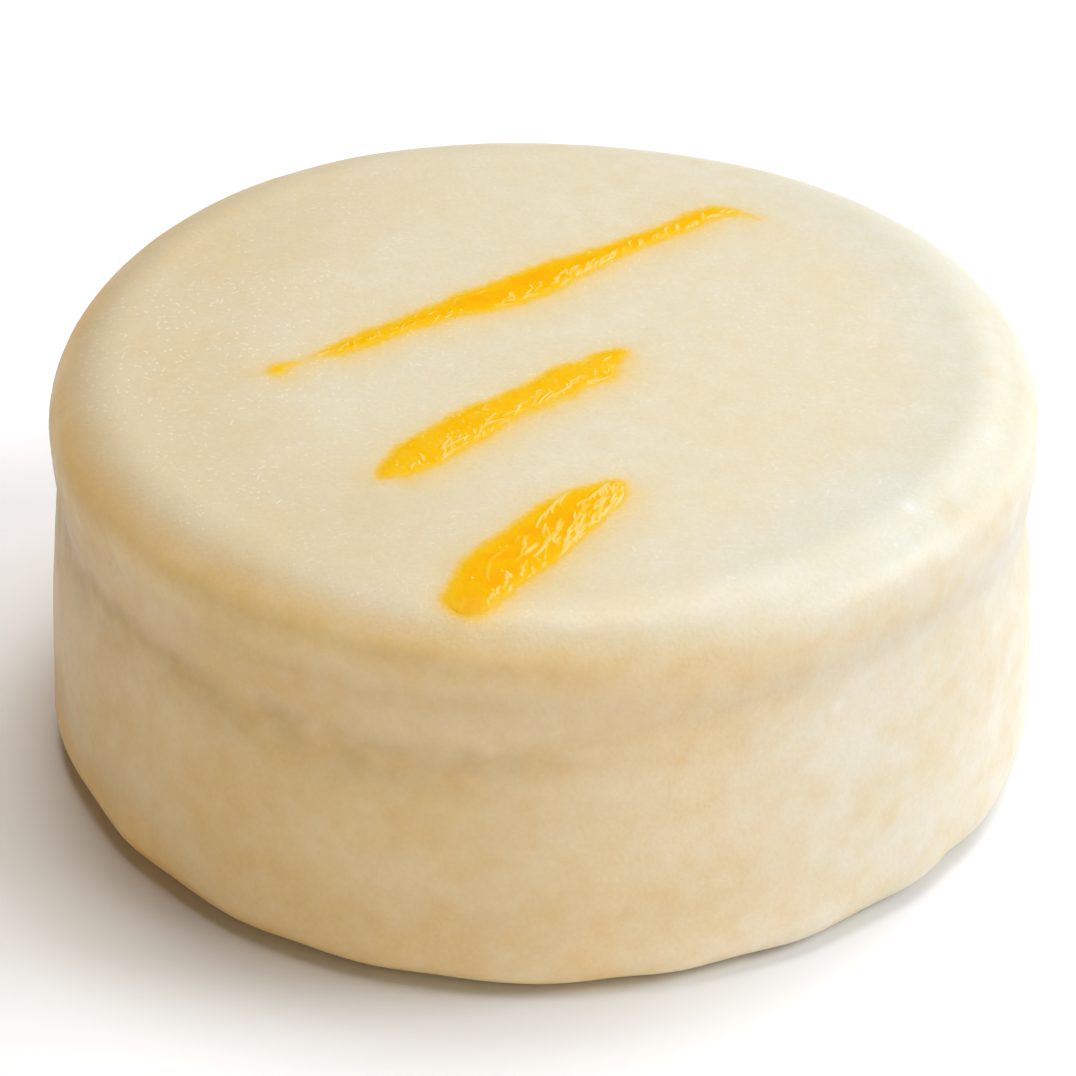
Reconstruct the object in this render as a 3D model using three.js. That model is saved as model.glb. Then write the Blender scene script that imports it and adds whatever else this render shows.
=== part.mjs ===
// A coated sandwich biscuit (alfajor): two round biscuits with a filling between them, dipped whole
// in white chocolate, so that one continuous coat hides what is inside. It is one solid.
// Units are millimetres, +Z is up, and the origin is the middle of the flat face that it rests on.
import * as THREE from "three";
import { mergeVertices } from "three/addons/utils/BufferGeometryUtils.js";

// ---- overall size
const RADIUS = 30.0; // largest radius of the upper biscuit, over the coat
const HEIGHT = 26.1; // table to the middle of the top face

// ---- upper biscuit
const WIDEST_Z = 22.25; // height where the upper biscuit is widest
const SHOULDER_IN = 4.85; // how far the rounded shoulder reaches in over the top face
const SHOULDER_UP = 3.4; // how far it rises
const SHOULDER_POWER = 2.2; // 2 is an ellipse, more is squarer
const CROWN = HEIGHT - WIDEST_Z - SHOULDER_UP; // gentle dome of the top face

// ---- waist, where the filling is and the coat sinks in between the biscuits
const CREASE_Z = 17.2; // upper edge of the waist, the crease under the upper biscuit
const WAIST_Z = 14.2; // lower edge of the waist
const WAIST_RADIUS = 29.6;
const UNDERCUT_POWER = 1.35; // how quickly the coat tucks in below the upper biscuit
const CREASE_TILT = 1.05; // the crease is this much lower at +X, and higher at -X
const CREASE_REACH = 4.8; // height over which that tilt dies out

// ---- lower biscuit
const LOWER_RADIUS = 30.1; // its widest radius
const LOWER_POWER = 2.45; // how full its side is above the widest place
const FOOT_Z = 3.4; // top of the rounded foot
const FOOT_IN = 3.0; // how far the foot tucks in to the flat base
const FOOT_POWER = 2.5;

// ---- hand-made unevenness: the outlines of the two biscuits, as [waves round, amplitude, phase in degrees]
const UPPER_WAVES = [
  [2, 0.04, 90],
  [3, 0.2, -26],
  [4, 0.12, 149],
  [5, 0.11, -11],
];
const LOWER_WAVES = [
  [2, 0.09, 151],
  [3, 0.02, 191],
  [4, 0.11, -56],
  [5, 0.03, 207],
];
const TOP_SWELLS = [
  [1, 0.05, 200],
  [2, 0.04, 35],
  [3, 0.03, -60],
];

// ---- flats in the edge of the foot, where the coat set against the wires of the rack:
// azimuth in degrees from the front towards +X, half width in degrees, depth
const FOOT_DENTS = [
  [-66.3, 9, 0.36],
  [-48.1, 9, 0.4],
  [-28.9, 7.4, 0.3],
  [-12.7, 7.8, 0.3],
  [9.3, 5.7, 0.31],
  [23.8, 7.4, 0.34],
  [40.8, 7.6, 0.38],
  [56, 5, 0.4],
  [75, 8, 0.36],
  [94, 8.5, 0.4],
  [113, 7.5, 0.36],
  [131, 8.5, 0.42],
  [152, 8, 0.36],
  [170, 8, 0.42],
  [189, 8, 0.36],
  [207, 7.5, 0.34],
  [226, 8.5, 0.42],
  [247, 8, 0.36],
  [268, 8, 0.36],
];
const DENT_TOP = 5.5; // they die out at this height
const BETWEEN_DENTS = 0.28; // the coat stands this much prouder between them

// ---- mesh steps
const ROUND_STEPS = 120;
const SHOULDER_STEPS = 8;
const LOWER_STEPS = 6;
const FOOT_STEPS = 6;
const TOP_RINGS = 6;

const rad = THREE.MathUtils.degToRad;
const smooth = (t) => {
  const c = THREE.MathUtils.clamp(t, 0, 1);
  return c * c * (3 - 2 * c);
};

// Half of the cross-section, from the middle of the base to the middle of the top face.
function section() {
  const points = [new THREE.Vector2(0, 0)];
  const foot = LOWER_RADIUS - FOOT_IN;
  points.push(new THREE.Vector2(foot * 0.5, 0));
  for (let i = 0; i <= FOOT_STEPS; i++) {
    const t = (i / FOOT_STEPS) * (Math.PI / 2);
    points.push(
      new THREE.Vector2(
        foot + FOOT_IN * Math.sin(t) ** (2 / FOOT_POWER),
        FOOT_Z * (1 - Math.cos(t) ** (2 / FOOT_POWER)),
      ),
    );
  }
  // side of the lower biscuit, curving in to the waist
  for (let i = 1; i <= LOWER_STEPS; i++) {
    const u = i / LOWER_STEPS;
    points.push(
      new THREE.Vector2(
        WAIST_RADIUS + (LOWER_RADIUS - WAIST_RADIUS) * (1 - u ** LOWER_POWER),
        THREE.MathUtils.lerp(FOOT_Z, WAIST_Z, u),
      ),
    );
  }
  // waist, and the coat tucked in under the upper biscuit
  for (const u of [0, 0.15, 0.35, 0.6, 0.8, 1]) {
    points.push(
      new THREE.Vector2(
        WAIST_RADIUS + (RADIUS - WAIST_RADIUS) * (1 - (1 - u) ** UNDERCUT_POWER),
        THREE.MathUtils.lerp(CREASE_Z, WIDEST_Z, u),
      ),
    );
  }
  // shoulder
  for (let i = 1; i <= SHOULDER_STEPS; i++) {
    const t = (i / SHOULDER_STEPS) * (Math.PI / 2);
    points.push(
      new THREE.Vector2(
        RADIUS - SHOULDER_IN + SHOULDER_IN * Math.cos(t) ** (2 / SHOULDER_POWER),
        WIDEST_Z + SHOULDER_UP * Math.sin(t) ** (2 / SHOULDER_POWER),
      ),
    );
  }
  // top face, a very shallow dome
  const flat = RADIUS - SHOULDER_IN;
  for (let i = 1; i <= TOP_RINGS; i++) {
    const r = flat * (1 - i / TOP_RINGS);
    points.push(new THREE.Vector2(r, HEIGHT - CROWN * (r / flat) ** 2));
  }
  return points;
}

// Sum of [waves, amplitude, phase] at an azimuth, in radians.
const waves = (list, azimuth) =>
  list.reduce((sum, [k, a, phase]) => sum + a * Math.cos(k * azimuth - rad(phase)), 0);

// How far the foot is pushed in at an azimuth.
function dent(azimuth) {
  let depth = -BETWEEN_DENTS;
  for (const [at, half, deep] of FOOT_DENTS) {
    const off = THREE.MathUtils.euclideanModulo(azimuth - rad(at) + Math.PI, 2 * Math.PI) - Math.PI;
    depth += deep * Math.exp(-((off / rad(half)) ** 2) * 1.4);
  }
  return depth;
}

// Moves a point of the turned shape to where it is on the hand-made biscuit.
function shape(x, y, z) {
  const r = Math.hypot(x, y);
  if (r < 1e-6) return [0, 0, z];
  const azimuth = Math.atan2(x, -y); // 0 at the front, which is -Y, and positive towards +X
  const upper = smooth((z - CREASE_Z + 0.9) / 6 + 0.5);
  const outline = upper * waves(UPPER_WAVES, azimuth) + (1 - upper) * waves(LOWER_WAVES, azimuth);
  let grown = r + outline * smooth((r / RADIUS) * 1.1 - 0.1);
  let height = z;
  if (z < DENT_TOP && r > LOWER_RADIUS - FOOT_IN - 0.01) {
    grown -= dent(azimuth) * (1 - smooth(z / DENT_TOP)) ** 1.2;
  }
  if (z > 0 && z < WIDEST_Z) {
    const near = Math.exp(-(((z - CREASE_Z) / CREASE_REACH) ** 2)) * smooth(z / 6);
    height -= CREASE_TILT * Math.sin(azimuth) * near;
  }
  if (z > WIDEST_Z) {
    height += waves(TOP_SWELLS, azimuth) * smooth(r / 12) * smooth((z - WIDEST_Z) / SHOULDER_UP);
  }
  return [grown * Math.sin(azimuth), -grown * Math.cos(azimuth), height];
}

function biscuitGeometry() {
  const lathe = new THREE.LatheGeometry(section(), ROUND_STEPS);
  lathe.rotateX(Math.PI / 2); // the lathe turns about Y, and the biscuit stands on Z
  lathe.deleteAttribute("normal");
  lathe.deleteAttribute("uv");
  const merged = mergeVertices(lathe, 1e-4);
  const position = merged.getAttribute("position");
  for (let i = 0; i < position.count; i++) {
    position.setXYZ(i, ...shape(position.getX(i), position.getY(i), position.getZ(i)));
  }
  // the axis makes triangles with no area, which are left out
  const index = [];
  for (let i = 0; i < merged.index.count; i += 3) {
    const [a, b, c] = [merged.index.getX(i), merged.index.getX(i + 1), merged.index.getX(i + 2)];
    if (a !== b && b !== c && a !== c) index.push(a, b, c);
  }
  merged.setIndex(index);
  // the outline is centred on the origin
  merged.computeBoundingBox();
  const { min, max } = merged.boundingBox;
  merged.translate(-(min.x + max.x) / 2, -(min.y + max.y) / 2, 0);
  merged.computeVertexNormals();
  return merged;
}

const coat = new THREE.MeshStandardMaterial({
  color: new THREE.Color(0xe8dcbc),
  roughness: 0.42,
  metalness: 0,
});

const alfajor = new THREE.Mesh(biscuitGeometry(), coat);
alfajor.name = "alfajor";

const group = new THREE.Group();
group.name = "alfajor_cookie";
group.add(alfajor);

export default group;
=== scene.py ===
# The looks of the alfajor cookie: the coat of white chocolate with its hand-made relief, and three strokes of
# yellow fruit glaze on its top. Lengths in the shape functions are millimetres; MM turns them into metres.
# Azimuth is 0 at the front (-Y) and grows towards +X.
import math

import bpy
import numpy as np
from mathutils import Matrix, Vector


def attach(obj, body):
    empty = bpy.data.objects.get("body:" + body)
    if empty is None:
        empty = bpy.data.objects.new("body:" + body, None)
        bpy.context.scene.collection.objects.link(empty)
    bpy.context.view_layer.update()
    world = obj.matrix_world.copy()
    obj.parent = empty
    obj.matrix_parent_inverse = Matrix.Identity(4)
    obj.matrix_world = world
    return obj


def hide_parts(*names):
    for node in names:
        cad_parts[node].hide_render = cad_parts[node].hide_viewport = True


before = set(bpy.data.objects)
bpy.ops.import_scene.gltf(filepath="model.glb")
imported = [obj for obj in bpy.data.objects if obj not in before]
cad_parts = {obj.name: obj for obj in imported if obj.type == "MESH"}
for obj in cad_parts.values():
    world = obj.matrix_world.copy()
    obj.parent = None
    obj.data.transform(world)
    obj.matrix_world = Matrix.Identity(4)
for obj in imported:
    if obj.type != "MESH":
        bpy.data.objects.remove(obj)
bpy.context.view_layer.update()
MM = 0.001

# ------------------------------------------------------------------------------------------------ camera
# Fitted to the outline: distance, height of the look-at point, elevation and a small roll.
CAMERA_DISTANCE = 360.0
CAMERA_TARGET = (-0.25, 0.0, 12.73)
CAMERA_ELEVATION = 32.56
CAMERA_ROLL = 0.308
CAMERA_LENS = 36.0 * 488.27 * 12 / 1076  # 36 mm sensor, for a square frame


def make_camera():
    data = bpy.data.cameras.new("camera")
    data.sensor_width = 36.0
    data.sensor_height = 36.0
    data.sensor_fit = "HORIZONTAL"
    data.lens = CAMERA_LENS
    data.clip_start = 0.01
    data.clip_end = 20.0
    camera = bpy.data.objects.new("camera", data)
    bpy.context.scene.collection.objects.link(camera)
    e = math.radians(CAMERA_ELEVATION)
    back = Vector((0.0, -math.cos(e), math.sin(e)))
    place = (Vector(CAMERA_TARGET) + back * CAMERA_DISTANCE) * MM
    turn = back.to_track_quat("Z", "Y").to_matrix().to_4x4()
    camera.matrix_world = Matrix.Translation(place) @ turn @ Matrix.Rotation(math.radians(CAMERA_ROLL), 4, "Z")
    bpy.context.scene.camera = camera
    return camera


# ------------------------------------------------------------------------------------------------ noise
def smooth(t):
    t = np.clip(t, 0.0, 1.0)
    return t * t * (3 - 2 * t)


def bell(t):
    return np.exp(-(t * t))


_GRADIENTS = {}


def noise(p, seed=0):
    """Gradient noise of points (n, 3), about -1 to 1, one lump per unit."""
    if seed not in _GRADIENTS:
        rng = np.random.default_rng(1000 + seed)
        g = rng.normal(size=(256, 3))
        _GRADIENTS[seed] = (g / np.linalg.norm(g, axis=1, keepdims=True), rng.permutation(256))
    grads, perm = _GRADIENTS[seed]
    base = np.floor(p).astype(np.int64)
    f = p - base
    w = f * f * f * (f * (f * 6 - 15) + 10)
    out = np.zeros(len(p))
    for dx in (0, 1):
        for dy in (0, 1):
            for dz in (0, 1):
                cell = perm[(perm[(perm[(base[:, 0] + dx) & 255] + base[:, 1] + dy) & 255] + base[:, 2] + dz) & 255]
                g = grads[cell]
                away = f - np.array([dx, dy, dz])
                weight = (
                    (w[:, 0] if dx else 1 - w[:, 0])
                    * (w[:, 1] if dy else 1 - w[:, 1])
                    * (w[:, 2] if dz else 1 - w[:, 2])
                )
                out += weight * (g * away).sum(1)
    return out * 1.6


def octaves(p, count, seed=0, gain=0.5):
    total, size, norm = 0.0, 1.0, 0.0
    for i in range(count):
        total = total + size * noise(p * 2.03**i + 17.3 * i, seed + i)
        norm += size
        size *= gain
    return total / norm


def round_noise(azimuth, lump, seed):
    """Noise along the rim, with lumps of the given length in millimetres."""
    a = np.asarray(azimuth, float).ravel()
    p = np.stack([np.sin(a) * 30 / lump, np.cos(a) * 30 / lump, 0 * a + 0.37], -1)
    return octaves(p, 2, seed).reshape(np.shape(azimuth))


def spline(x, y, at):
    """Smooth curve through points, without overshoot (monotone cubic)."""
    x, y = np.asarray(x, float), np.asarray(y, float)
    step, rise = np.diff(x), np.diff(y)
    slope = rise / step
    m = np.zeros(len(x))
    same = slope[1:] * slope[:-1] > 0
    w1, w2 = 2 * step[1:] + step[:-1], step[1:] + 2 * step[:-1]
    with np.errstate(divide="ignore", invalid="ignore"):
        harmonic = (w1 + w2) / (w1 / slope[:-1] + w2 / slope[1:])
    m[1:-1] = np.where(same, harmonic, 0)
    m[0], m[-1] = slope[0], slope[-1]
    i = np.clip(np.searchsorted(x, at) - 1, 0, len(step) - 1)
    u = (at - x[i]) / step[i]
    h00, h10 = 2 * u**3 - 3 * u**2 + 1, u**3 - 2 * u**2 + u
    h01, h11 = -2 * u**3 + 3 * u**2, u**3 - u**2
    return h00 * y[i] + h10 * step[i] * m[i] + h01 * y[i + 1] + h11 * step[i] * m[i + 1]


def _wrap(azimuth):
    return (azimuth + np.pi) % (2 * np.pi) - np.pi


# ------------------------------------------------------------------------------------------------ biscuit
# The same driving sizes as the CAD part.
RADIUS, HEIGHT = 30.0, 26.1
WIDEST_Z, SHOULDER_IN, SHOULDER_UP, SHOULDER_POWER = 22.25, 4.85, 3.4, 2.2
CROWN = HEIGHT - WIDEST_Z - SHOULDER_UP
CREASE_Z, WAIST_Z, WAIST_RADIUS, UNDERCUT_POWER = 17.2, 14.2, 29.6, 1.35
CREASE_TILT, CREASE_REACH = 1.05, 4.8
LOWER_RADIUS, LOWER_POWER = 30.1, 2.45
FOOT_Z, FOOT_IN, FOOT_POWER = 3.4, 3.0, 2.5
UPPER_WAVES = [(2, 0.04, 90), (3, 0.2, -26), (4, 0.12, 149), (5, 0.11, -11)]
LOWER_WAVES = [(2, 0.09, 151), (3, 0.02, 191), (4, 0.11, -56), (5, 0.03, 207)]
TOP_SWELLS = [(1, 0.05, 200), (2, 0.04, 35), (3, 0.03, -60)]
FOOT_DENTS = [
    (-66.3, 9, 0.36), (-48.1, 9, 0.4), (-28.9, 7.4, 0.3), (-12.7, 7.8, 0.3), (9.3, 5.7, 0.31), (23.8, 7.4, 0.34),
    (40.8, 7.6, 0.38), (56, 5, 0.4), (75, 8, 0.36), (94, 8.5, 0.4), (113, 7.5, 0.36), (131, 8.5, 0.42),
    (152, 8, 0.36), (170, 8, 0.42), (189, 8, 0.36), (207, 7.5, 0.34), (226, 8.5, 0.42), (247, 8, 0.36), (268, 8, 0.36),
]  # fmt: skip
DENT_TOP, BETWEEN_DENTS = 5.5, 0.28

# mesh steps
ROUND_STEPS = 500
SIDE_STEP, TOP_STEP = 0.33, 0.33


def waves(terms, azimuth):
    return sum(a * np.cos(k * azimuth - math.radians(phase)) for k, a, phase in terms)


def outer_section():
    """From the edge of the base up the side and over the shoulder to the flat of the top, as fine steps of (r, z)."""
    t = np.linspace(0, np.pi / 2, 60)
    foot = LOWER_RADIUS - FOOT_IN
    r = [foot + FOOT_IN * np.sin(t) ** (2 / FOOT_POWER)]
    z = [FOOT_Z * (1 - np.cos(t) ** (2 / FOOT_POWER))]
    u = np.linspace(0, 1, 80)[1:]
    r.append(WAIST_RADIUS + (LOWER_RADIUS - WAIST_RADIUS) * (1 - u**LOWER_POWER))
    z.append(FOOT_Z + (WAIST_Z - FOOT_Z) * u)
    r.append(WAIST_RADIUS + (RADIUS - WAIST_RADIUS) * (1 - (1 - u) ** UNDERCUT_POWER))
    z.append(CREASE_Z + (WIDEST_Z - CREASE_Z) * u)
    t = t[1:]
    r.append(RADIUS - SHOULDER_IN + SHOULDER_IN * np.cos(t) ** (2 / SHOULDER_POWER))
    z.append(WIDEST_Z + SHOULDER_UP * np.sin(t) ** (2 / SHOULDER_POWER))
    return np.concatenate(r), np.concatenate(z)


def section():
    """Half of the cross-section as (r, z), from the middle of the base round to the middle of the top, with even steps."""
    r, z = outer_section()
    along = np.concatenate([[0], np.cumsum(np.hypot(np.diff(r), np.diff(z)))])
    even = np.linspace(0, along[-1], int(round(along[-1] / SIDE_STEP)) + 1)
    r, z = np.interp(even, along, r), np.interp(even, along, z)
    flat = RADIUS - SHOULDER_IN
    top = np.linspace(flat, 0, int(round(flat / TOP_STEP)) + 1)[1:]
    base = np.linspace(0, LOWER_RADIUS - FOOT_IN, 7)[:-1]
    r = np.concatenate([base, r, top])
    z = np.concatenate([0 * base, z, HEIGHT - CROWN * (top / flat) ** 2])
    return r, z


def dent(azimuth):
    depth = -BETWEEN_DENTS + 0 * azimuth
    for at, half, deep in FOOT_DENTS:
        off = (azimuth - math.radians(at) + np.pi) % (2 * np.pi) - np.pi
        depth = depth + deep * np.exp(-((off / math.radians(half)) ** 2) * 1.4)
    return depth


def shape(azimuth, r, z):
    """Where a point of the turned section lies on the hand-made biscuit, as in the CAD part.

    Only the tilt of the crease eases off here before the widest place, so that the fine rows don't fold there.
    """
    upper = smooth((z - CREASE_Z + 0.9) / 6 + 0.5)
    outline = upper * waves(UPPER_WAVES, azimuth) + (1 - upper) * waves(LOWER_WAVES, azimuth)
    grown = r + outline * smooth(r / RADIUS * 1.1 - 0.1)
    at_foot = (z < DENT_TOP) & (r > LOWER_RADIUS - FOOT_IN - 0.01)
    grown = grown - at_foot * dent(azimuth) * (1 - smooth(z / DENT_TOP)) ** 1.2
    near = np.exp(-(((z - CREASE_Z) / CREASE_REACH) ** 2)) * smooth(z / 6) * smooth((WIDEST_Z - z) / 2.0)
    height = z - CREASE_TILT * np.sin(azimuth) * near
    swell = waves(TOP_SWELLS, azimuth) * smooth(r / 12) * smooth((z - WIDEST_Z) / SHOULDER_UP)
    height = height + np.where(z > WIDEST_Z, swell, 0)
    return np.stack([grown * np.sin(azimuth), -grown * np.cos(azimuth), height], -1)


# ---- relief that is too fine for the CAD part: height along the normal, in millimetres
PIT = (23.5, -15.9)
SEAM_PATH = [  # the fine line where the coats of the two biscuits meet: azimuth in degrees, height on the section
    (-90, 17.2), (-76, 16.4), (-60, 16.2), (-36, 15.9), (-18, 15.6), (-6, 16.2), (6, 17.5), (20, 18.4), (38, 19.0),
    (56, 18.6), (76, 17.3), (96, 16.8), (150, 16.5), (210, 16.9), (270, 17.2),
]  # fmt: skip
SEAM_WIDTH = 1.3
# small spots in the coat: azimuth in degrees, height on the section, size in millimetres, and how warm they are,
# or how white where that is below zero
SPOTS = [
    (-34.5, 16.9, 0.5, -0.8), (-5.6, 17.0, 0.45, -0.7), (-26, 16.4, 0.8, -0.4), (35.4, 17.3, 0.4, -0.9),
    (52.5, 25.5, 0.45, -0.9), (56.2, 24.8, 0.9, 0.4), (87.3, 25.5, 0.6, 0.4), (15.4, 16.1, 0.5, 0.5),
    (23.8, 16.2, 0.5, 0.3), (2.6, 15.9, 0.4, 0.55), (1.0, 16.8, 1.3, 0.35), (-9, 15.0, 1.0, 0.3),
    (-3.9, 4.3, 0.7, 0.25), (6.6, 4.9, 0.5, 0.25), (25.3, 4.8, 0.7, 0.25), (128, 15.5, 0.7, 0.4), (205, 17.5, 0.6, -0.6),
]  # fmt: skip


def seam_height(azimuth):
    a = np.degrees((np.asarray(azimuth) + np.pi / 2) % (2 * np.pi)) - 90
    path = np.array(SEAM_PATH, float)
    z = spline(path[:, 0], path[:, 1], a.ravel()).reshape(a.shape)
    return z + 0.3 * round_noise(azimuth, 6.0, 40) + 0.15 * round_noise(azimuth, 2.2, 41)


def seam_depth(azimuth):
    """Deep at the left front, faint at the right."""
    front_left = 0.5 + 0.5 * np.cos(azimuth + math.radians(70))
    return 0.05 + 0.08 * front_left + 0.05 * round_noise(azimuth, 4.0, 42)


def relief(p, azimuth, r, z):
    flat = p.reshape(-1, 3)
    side = smooth((WIDEST_Z + 2.2 - z) / 3.5)
    lumps = octaves(flat / 6.5, 3, 10).reshape(z.shape)
    small = octaves(flat / 1.7, 2, 14).reshape(z.shape)
    out = lumps * (0.035 + 0.05 * side) + small * 0.011
    off = z - seam_height(azimuth)
    right = smooth(0.5 + 1.2 * np.sin(azimuth + math.radians(20)))
    out = out - seam_depth(azimuth) * bell(off / SEAM_WIDTH)
    out = out - 0.08 * right * bell((off - 0.6) / 2.0)
    out = out + (0.03 + 0.05 * right) * bell((off + 2.8) / 1.9)
    out = out + 0.03 * bell((off - 2.6) / 1.5)
    # the coat is drawn into fine folds where it ran down over the left shoulder
    degrees = np.degrees(_wrap(azimuth))
    folds = smooth((degrees + 100) / 12) * smooth((-52 - degrees) / 14) * smooth((z - 17) / 2) * smooth((25 - z) / 1.2)
    along = np.stack([(azimuth * 30 + z * 0.75).ravel() / 0.95, (azimuth * 30 - z).ravel() / 7.0, 0 * z.ravel()], -1)
    out = out + 0.035 * folds * noise(along, 46).reshape(z.shape)
    # a small pit in the right shoulder, where a bubble burst
    pit = np.hypot((p[..., 0] - PIT[0]) / 0.75, (p[..., 1] - PIT[1]) / 0.95)
    out = out - 0.09 * bell(pit) * smooth((z - 20) / 2)
    out = out * smooth(z / 1.2)  # the base stays flat
    return out


def normals_of(points):
    """Normals of a closed grid of rings (rings, steps, 3)."""
    across = np.roll(points, -1, 1) - np.roll(points, 1, 1)
    up = np.gradient(points, axis=0)
    n = np.cross(across, up)
    return n / np.maximum(np.linalg.norm(n, axis=-1, keepdims=True), 1e-12)


def body_grid():
    r, z = section()
    azimuth = np.arange(ROUND_STEPS) / ROUND_STEPS * 2 * np.pi
    rr, aa = np.meshgrid(r[1:-1], azimuth, indexing="ij")
    zz, _ = np.meshgrid(z[1:-1], azimuth, indexing="ij")
    plain = shape(aa, rr, zz)
    return plain + normals_of(plain) * relief(plain, aa, rr, zz)[..., None], aa, rr, zz


_TOP_R, _TOP_Z = outer_section()
_over = _TOP_Z >= WIDEST_Z
_flat = np.linspace(RADIUS - SHOULDER_IN, 0, 200)[1:]
_TOP_R = np.concatenate([_TOP_R[_over], _flat])[::-1]
_TOP_Z = np.concatenate([_TOP_Z[_over], HEIGHT - CROWN * (_flat / (RADIUS - SHOULDER_IN)) ** 2])[::-1]


def top_point(x, y):
    """The point of the top face, or of the shoulder, that lies over x and y, with its relief."""
    azimuth = np.arctan2(x, -y)
    grown = np.hypot(x, y)
    outline = waves(UPPER_WAVES, azimuth)
    r = grown
    for _ in range(3):
        r = grown - outline * smooth(r / RADIUS * 1.1 - 0.1)
    z = np.interp(r, _TOP_R, _TOP_Z)
    plain = shape(azimuth, r, z)
    slope = np.interp(r, 0.5 * (_TOP_R[1:] + _TOP_R[:-1]), np.diff(_TOP_Z) / np.maximum(np.diff(_TOP_R), 1e-6))
    n = np.stack([-slope * np.sin(azimuth), slope * np.cos(azimuth), 1 + 0 * slope], -1)
    n /= np.linalg.norm(n, axis=-1, keepdims=True)
    return plain + n * relief(plain, azimuth, r, z)[..., None], n


# ------------------------------------------------------------------------------------------------ glaze strokes
# Each stroke has a straight frame, origin A and direction d, and rows of (s, t, half width): s along it, t to its
# upper left, at the edge that the eye sees.
STROKES = {
    "glaze_stroke_long": {
        "origin": (-16.6, -2.1),
        "direction": (0.837, 0.547),
        "rows": [
            (-0.15, -0.1, 0.04), (0.25, -0.2, 0.56), (0.7, -0.13, 0.68), (1.25, -0.1, 0.32), (1.9, -0.22, 0.19),
            (2.7, -0.2, 0.13), (3.6, -0.19, 0.22), (5.4, -0.3, 0.52), (7.2, -0.28, 0.7), (9.0, -0.19, 0.63),
            (11.0, -0.21, 0.79), (12.6, -0.16, 0.84), (14.3, -0.22, 1.16), (16.1, -0.38, 1.33), (17.9, -0.29, 1.45),
            (19.7, -0.11, 1.41), (21.5, 0.22, 1.22), (23.3, 0.33, 0.97), (25.1, 0.57, 0.77), (28.0, 0.91, 0.62),
            (30.5, 1.1, 0.64), (32.3, 1.48, 0.66), (33.6, 1.57, 0.54), (34.5, 1.12, 0.42), (35.1, 0.4, 0.28),
            (35.6, -0.5, 0.04),
        ],
    },
    "glaze_stroke_middle": {
        "origin": (-9.9, -13.7),
        "direction": (0.726, 0.687),
        "rows": [
            (0.1, -0.55, 0.04), (0.5, -0.5, 0.42), (1.03, -0.52, 0.78), (2.05, -0.56, 1.14), (3.1, -0.42, 1.42),
            (5.1, -0.27, 1.44), (7.2, -0.2, 1.44), (9.2, -0.03, 1.29), (11.3, -0.12, 1.12), (13.3, -0.24, 1.14),
            (15.4, -0.24, 1.27), (16.5, -0.36, 1.3), (17.1, -0.55, 1.25), (17.55, -0.66, 1.12), (18.2, -0.22, 0.84),
            (19.2, -0.15, 0.66), (19.9, -0.1, 0.38), (20.2, -0.1, 0.04),
        ],
    },
    "glaze_stroke_short": {
        "origin": (-4.4, -28.4),
        "direction": (0.553, 0.833),
        "rows": [
            (0.5, 0.88, 0.08), (0.64, 0.88, 0.9), (1.0, 0.87, 1.18), (1.8, 0.86, 1.46), (3.4, 0.94, 1.76),
            (5.0, 1.11, 1.97), (6.7, 0.97, 2.04), (8.4, 0.78, 2.01), (10.1, 0.84, 1.94), (11.8, 0.71, 1.86),
            (13.0, 0.64, 1.62), (14.3, 0.34, 1.38), (15.3, 0.22, 1.0), (16.0, 0.2, 0.6), (16.5, 0.15, 0.05),
        ],
    },
}  # fmt: skip


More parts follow.
